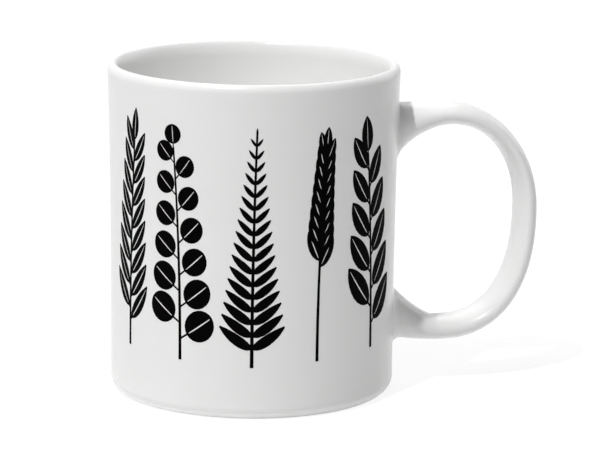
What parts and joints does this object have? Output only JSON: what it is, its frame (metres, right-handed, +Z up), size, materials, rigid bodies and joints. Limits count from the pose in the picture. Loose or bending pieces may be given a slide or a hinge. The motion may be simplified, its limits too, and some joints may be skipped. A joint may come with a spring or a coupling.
{
  "type": "mug",
  "caption": "Straight-sided glazed ceramic mug with a gently flared rim and a C-shaped handle luted to the wall, for hot drinks.",
  "frame": {"origin": "middle of the outline, cup and handle together, on the plane that the foot ring stands on", "axes": "+X from the cup towards the handle, +Z up the cup's axis, +Y to the left of the handle seen from the cup"},
  "size_m": [0.1234, 0.082, 0.093],
  "materials": {
    "body_glaze": "glossy white glaze with a dark print fired on",
    "handle_glaze": "glossy white glaze",
    "slip_glaze": "glossy white glaze over wiped slip"
  },
  "bodies": {
    "root": {"cup_body": "body_glaze", "handle": "handle_glaze", "upper_slip_joint": "slip_glaze", "lower_slip_joint": "slip_glaze"}
  },
  "joints": []
}
